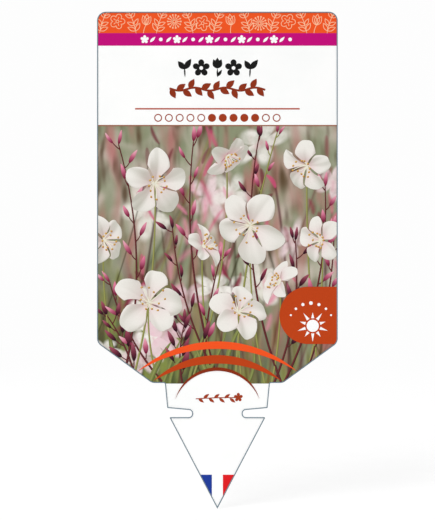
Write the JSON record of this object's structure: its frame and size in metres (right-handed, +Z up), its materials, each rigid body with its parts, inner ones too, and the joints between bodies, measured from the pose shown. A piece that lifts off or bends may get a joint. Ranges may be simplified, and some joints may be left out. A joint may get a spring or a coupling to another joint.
{
  "type": "plant label",
  "caption": "Flat push-in plant label: a tall printed card with sloped lower corners on a short notched neck and a barbed triangular lance.",
  "frame": {"origin": "the middle of the sheet's thickness and width, level with the middle of the two side notches, where the soil or the slot of a pot rim holds the label", "axes": "+X to the right across the card as seen from its printed front, -Y out of the printed front, +Z up towards the card's top edge"},
  "size_m": [0.0804, 0.0006, 0.1661],
  "materials": {
    "white_plastic": "stiff white plastic sheet with a smooth satin face and a die-cut edge",
    "print_ink": "satin offset ink over the white face: orange header, magenta band, flower picture, rust badge and tricolour"
  },
  "bodies": {
    "root": {"label_sheet": "white_plastic"}
  },
  "joints": []
}
